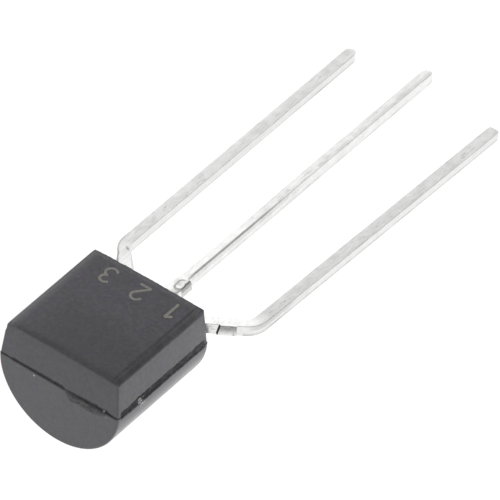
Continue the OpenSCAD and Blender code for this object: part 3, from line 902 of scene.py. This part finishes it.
def build_lead(i, name):
    path = lead_path(i)
    where = np.array([p for p, _ in path])
    heading = np.array([d for _, d in path])
    run = np.concatenate([[0], np.cumsum(np.linalg.norm(np.diff(where, axis=0), axis=1))])
    inner = -where[0, 1]
    run -= inner  # distance 0 is at the seating end
    total = run[-1] - TIP_BACK
    stub = STUB_START[i]
    _, narrow, thin = TIP_SHAPE[i]

    points, bare_and_shade, sheared = [], [], []
    for s, inset in lead_rows(i, inner, total):
        p = np.array([np.interp(s, run, where[:, c]) for c in range(3)])
        d = unit([np.interp(s, run, heading[:, c]) for c in range(3)])
        p[0] += np.interp(s, *SWAY[i])
        ends = before(stub + STUB_LEN, s)
        on_stub = past(stub, s) * ends
        left, right = (w - inset * narrow for w in half_widths(i, s, ends, on_stub))
        high = LEAD_T / 2 - inset * thin
        radius = min(edge_radius(i, s), high * 0.8, left * 0.8) if s > 0.1 else LEAD_EDGE_R * 0.6
        pts, nrm = section(left, right, high, radius, DOME[i] if s > 0 else 0.0,
                           4 if i == BASE else 1)
        # the lower side curves up to the tip
        lift = inset * TIP_LIFT[i] + TIP_CURL * max(0.0, s - total + TIP_CURL_LEN)
        pts[:, 1] = high - (high - pts[:, 1]) * (1 - lift / (2 * high))
        u, v, nu, nv = *pts.T, *nrm.T
        if i == COLLECTOR:
            slope = smooth(slanted(v) - 0.008, slanted(v) + 0.008, s)
            u += np.where(u > 0, STUB_RIGHT[i] * slope * ends, 0)
        # handling waves, and the sheared and torn faces of the stubs
        top = nv > FACING
        torn = on_stub * (np.abs(nu) > FACING)
        left_rim = (nv > 0.3) * smooth(-left + 0.08, -left + 0.03, u)
        out = WAVE * lumps(u * 3, v * 3, s * 1.7, seed=20 + i) * (s > 0.3)
        out += RIPPLE * lumps(u * 9, v * 9, s * 6.0, seed=30 + i) * (s > 0.3)
        out += torn * (0.003 if i == COLLECTOR else 0.01) * lumps(v * 18, s * 14, seed=40 + i)
        change, dull_and_shade = WEAR_AND_SHADE[i](s, u, v, nu, nv, right, torn, left_rim)
        out += change
        # the upper face is duller away from the body
        tarnish = (0.07 + 0.08 * smooth(6, 14, s),
                   0.14 * smooth(4, 7, s) + 0.06 * smooth(9, 14, s), 0.14)[i]
        dull_and_shade.append(tarnish * top * smooth(1.6, 3.0, s)
                    * (1 + 0.35 * lumps(u * 4, s * 1.6, seed=71)))
        # a thin dark line along the lower outer edge: a painted reflection of shade
        lower = (smooth(0.25, 0.6, nu) * smooth(-0.2, -0.5, nv)
                 + (nu > 0.9) * smooth(-high + 0.14, -high + 0.05, v))
        low_line = (0.15 + 0.33 * smooth(11.0, 12.5, s), 0.2,
                    0.4 + 0.15 * smooth(4.5, 3.0, s))[i]
        dull_and_shade.append(low_line * np.clip(lower, 0, 1) * (s > 1.9)
                    * (0.7 + 0.3 * lumps(s * 1.3, seed=64)))
        # the cut end is dull round its edge
        dull_and_shade.append(TIP_DULL[i] * smooth(0.065, 0.03, total - s)
                    * (0.8 + 0.2 * lumps(u * 12, seed=69)))
        # the underside only loses metal, so the lead stays inside the CAD box
        out = np.where(nv < -0.3, np.minimum(out, 0.0), out)
        q = pts + nrm * out[:, None]
        twist = radians(np.interp(s, *TWIST[i]))
        c, sn = cos(twist), sin(twist)
        across = unit(np.cross(d, [0, 0, 1]))
        up = np.cross(across, d)
        points.append(p + np.outer(q[:, 0] * c - q[:, 1] * sn, across)
                      + np.outer(q[:, 0] * sn + q[:, 1] * c, up))
        bare_and_shade.append(np.maximum.reduce(dull_and_shade))
        sheared.append(smooth(0.55, 0.95, np.abs(nu)) * (0.6 if i == BASE else 1.0))
    n = len(points[0])
    loops = np.arange(len(points) * n).reshape(-1, n).tolist()
    faces = [face for a, b in zip(loops, loops[1:]) for face in quads(a, b, True)]
    # both ends close with smaller and smaller rings round a middle point
    middles = []
    for outer, ring, dull_and_shade, order in ((loops[0], points[0], 0.0, 1),
                                     (loops[-1], points[-1], END_DULL, -1)):
        centre = ring.mean(0)
        for f in END_RINGS:
            new = range(len(points) * n, len(points) * n + n)
            points.append(centre + (ring - centre) * f)
            bare_and_shade.append(np.full(n, dull_and_shade))
            sheared.append(np.ones(n))
            faces += [face[::order] for face in quads(outer, new)]
            outer = new
        middles.append((centre, outer, dull_and_shade, order))
    hub = len(points) * n
    for k, (centre, outer, dull_and_shade, order) in enumerate(middles):
        points.append(centre[None])
        bare_and_shade.append([dull_and_shade])
        sheared.append([1.0])
        faces += [[outer[j], outer[(j + 1) % n], hub + k][::order] for j in range(n)]
    return add_mesh(name, np.concatenate(points), faces, TINNED, 38.0,
                    {"bare_and_shade": np.concatenate(bare_and_shade), "sheared": np.concatenate(sheared)})


# ---- pin digits ----
STROKE = 0.095
DIGIT_MID, DIGIT_FOOT = 0.21, 0.5  # half a digit's width; its foot from the seat
DIGIT_PROUD, DIGIT_SUNK, STROKE_STEP = 0.003, 0.02, 0.0015


def bow(cx, cy, rx, ry, start, end, count):
    return [(cx + rx * cos(a), cy + ry * sin(a))
            for a in np.radians(np.linspace(start, end, count))]


DIGITS = {
    "1": [(0.02, 0.58), (0.2, 0.72), (0.2, 0.0)],
    "2": [(0.02, 0.56), *bow(0.21, 0.53, 0.19, 0.19, 165, -25, 10), (0.02, 0.0), (0.42, 0.0)],
    "3": [(0.03, 0.62), *bow(0.2, 0.545, 0.17, 0.17, 135, -80, 10),
          *bow(0.2, 0.195, 0.2, 0.195, 80, -150, 12)],
}


def strokes(line):
    """A polyline cut wherever it turns sharply."""
    out, piece = [], list(line[:2])
    for a, b, c in zip(line, line[1:], line[2:]):
        if unit(np.subtract(b, a)) @ unit(np.subtract(c, b)) < 0.5:
            out.append(piece)
            piece = [b]
        piece.append(c)
    return out + [piece]


def build_digits():
    """Laser-marked pin numbers, upright with the leads down: a shallow slab for each stroke."""
    points, faces = [], []
    for label, lead in zip("123", (COLLECTOR, BASE, EMITTER)):
        for order, line in enumerate(strokes(DIGITS[label])):
            line = np.array(line) - [DIGIT_MID, 0]
            # short pieces, so that the sides wobble a little
            fine = [line[0]]
            for a, b in zip(line, line[1:]):
                count = max(1, int(np.linalg.norm(b - a) / 0.03))
                fine += [a + (b - a) * f for f in np.linspace(0, 1, count + 1)[1:]]
            fine = np.array(fine)
            t = np.gradient(fine, axis=0)
            t /= np.linalg.norm(t, axis=1)[:, None]
            side = np.stack([-t[:, 1], t[:, 0]], 1)
            wobble = lumps(fine[:, 0] * 30, fine[:, 1] * 30, seed=50 + ord(label))
            side *= (STROKE / 2 * (1 + 0.16 * wobble))[:, None]
            ends = fine[[0]] - t[[0]] * STROKE * 0.35, fine[[-1]] + t[[-1]] * STROKE * 0.35
            loop = np.concatenate([ends[0], fine - side, ends[1], (fine + side)[::-1]])
            base, size, m = len(points), len(loop), len(fine)
            for z in (FLAT_RISE + DIGIT_PROUD + STROKE_STEP * order, FLAT_RISE - DIGIT_SUNK):
                points += [(EXIT_X[lead] - u, -DIGIT_FOOT - v, z) for u, v in loop]
            # top and bottom as strips across the stroke
            for o, way in ((base, 1), (base + size, -1)):
                strip = [[o, o + 1, o + size - 1]]
                strip += [[o + k, o + k + 1, o + size - k - 1, o + size - k] for k in range(1, m)]
                strip.append([o + m, o + m + 1, o + m + 2])
                faces += [f[::way] for f in strip]
            faces += quads(range(base, base + size), range(base + size, len(points)), True)
    return add_mesh("pin_digits", points, faces, MARK, 50.0)


body = build_body()
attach(body, "root")
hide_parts("epoxy_body")
for index, node in enumerate(("emitter_lead", "base_lead", "collector_lead")):
    lead = build_lead(index, "formed_" + node)
    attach(lead, "root")
    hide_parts(node)
digits = build_digits()
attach(digits, "root")
for node, material in (("silicon_die", silicon()), ("die_attach", solder()),
                       ("base_bond_wire", bond_wire()), ("emitter_bond_wire", bond_wire())):
    slots = frame["nodes"][node].data.materials
    slots.clear()
    slots.append(material)

# ---- floor, world, lamp ----
FLOOR_HALF, FLOOR_STEPS = 0.6, 24  # metres, and squares along a side
FLOOR_COLOUR, FLOOR_SHOWN = 0.3, 0.84  # as it lights the part, and what it shows beyond
SKY_NEAR, SKY_FAR, SKY_RISE = 1.3, 0.57, 0.5  # strength at -X and +X, and its rise at +Y
LAMP_SIZE, LAMP_POWER, LAMP_AWAY = 0.3, 1.34, 0.35


def add_floor():
    """A plain white table. Seen directly or mirrored it gets a little extra to show white."""
    spots = np.linspace(-FLOOR_HALF, FLOOR_HALF, FLOOR_STEPS + 1)
    row = len(spots)
    mesh = bpy.data.meshes.new("table")
    mesh.from_pydata([(x, y, 0.0) for y in spots for x in spots], [],
                     [[k, k + 1, k + row + 1, k + row]
                      for k in range(row * FLOOR_STEPS) if (k + 1) % row])
    material = bpy.data.materials.new("table_white")
    n = Tree(material, empty=True)
    rays = n.add("ShaderNodeLightPath").outputs
    seen = rays["Is Camera Ray"]
    for name in ("Is Glossy Ray", "Is Transmission Ray"):
        seen = n.math("MAXIMUM", seen, rays[name])
    plain = n.add("ShaderNodeBsdfDiffuse", {"Color": grey(FLOOR_COLOUR)})
    glow = n.add("ShaderNodeEmission", {"Strength": n.times(seen, FLOOR_SHOWN)})
    total = n.add("ShaderNodeAddShader", {0: plain.outputs[0], 1: glow.outputs[0]})
    n.add("ShaderNodeOutputMaterial", {"Surface": total.outputs[0]})
    mesh.materials.append(material)
    add_object("table", mesh)


def add_world():
    """A soft studio: bright to the left, dimmer to the far right, white below the horizon."""
    world = bpy.data.worlds.new("studio")
    bpy.context.scene.world = world
    n = Tree(world, empty=True)
    place = n.add("ShaderNodeTexCoord").outputs["Generated"]
    x, y, z = n.add("ShaderNodeSeparateXYZ", {0: place}).outputs
    # brightness falls from -X to +X, and rises again low down at +Y
    fall = n.spread(x, -0.7, -0.15, SKY_NEAR, SKY_FAR, "SMOOTHSTEP")
    sky = n.math("ADD", fall, n.spread(y, 0.65, 0.86, 0.0, SKY_RISE, "SMOOTHSTEP"))
    # white below the horizon, and for what the camera sees directly
    seen = n.add("ShaderNodeLightPath").outputs["Is Camera Ray"]
    white = n.math("MAXIMUM", n.spread(z, 0.02, -0.02), seen)
    shade = n.add("ShaderNodeBackground", {"Strength": n.mix(white, sky, 1.0, "FLOAT")})
    n.add("ShaderNodeOutputWorld", {"Surface": shade.outputs[0]})


def add_lamp():
    light = bpy.data.lights.new("softbox", "AREA")
    light.shape = "SQUARE"
    light.size = LAMP_SIZE
    light.energy = LAMP_POWER
    lamp = add_object("softbox", light)
    direction = Vector((0.84, -0.34, 0.46)).normalized()
    lamp.location = direction * LAMP_AWAY
    lamp.rotation_euler = direction.to_track_quat("Z", "Y").to_euler()
    lamp.visible_camera = False
    lamp.visible_glossy = False


# ---- camera ----
CAMERA_AT = (51.677, -73.714, 84.169)  # mm, in the moulding's axes
CAMERA_RIGHT = (0.80085, 0.59498, 0.06810)
CAMERA_DOWN = (0.44102, -0.50902, -0.73919)
CAMERA_FORWARD = (-0.40514, 0.62201, -0.67005)
FOCAL_PX, PHOTO_PX, SENSOR_MM = 3825.5, 500, 36.0


def add_camera():
    data = bpy.data.cameras.new("camera")
    data.sensor_fit = "HORIZONTAL"
    data.sensor_width = SENSOR_MM
    data.lens = FOCAL_PX / PHOTO_PX * SENSOR_MM
    data.clip_start, data.clip_end = 0.005, 10.0
    camera = add_object("camera", data)
    right, down, forward = (turn(v) for v in (CAMERA_RIGHT, CAMERA_DOWN, CAMERA_FORWARD))
    axes = Matrix((right, -down, -forward)).transposed().to_4x4()
    camera.matrix_world = Matrix.Translation(Vector(lay(CAMERA_AT))) @ axes
    bpy.context.scene.camera = camera


add_floor()
add_world()
add_lamp()
add_camera()
bpy.context.scene.view_settings.view_transform = "Standard"
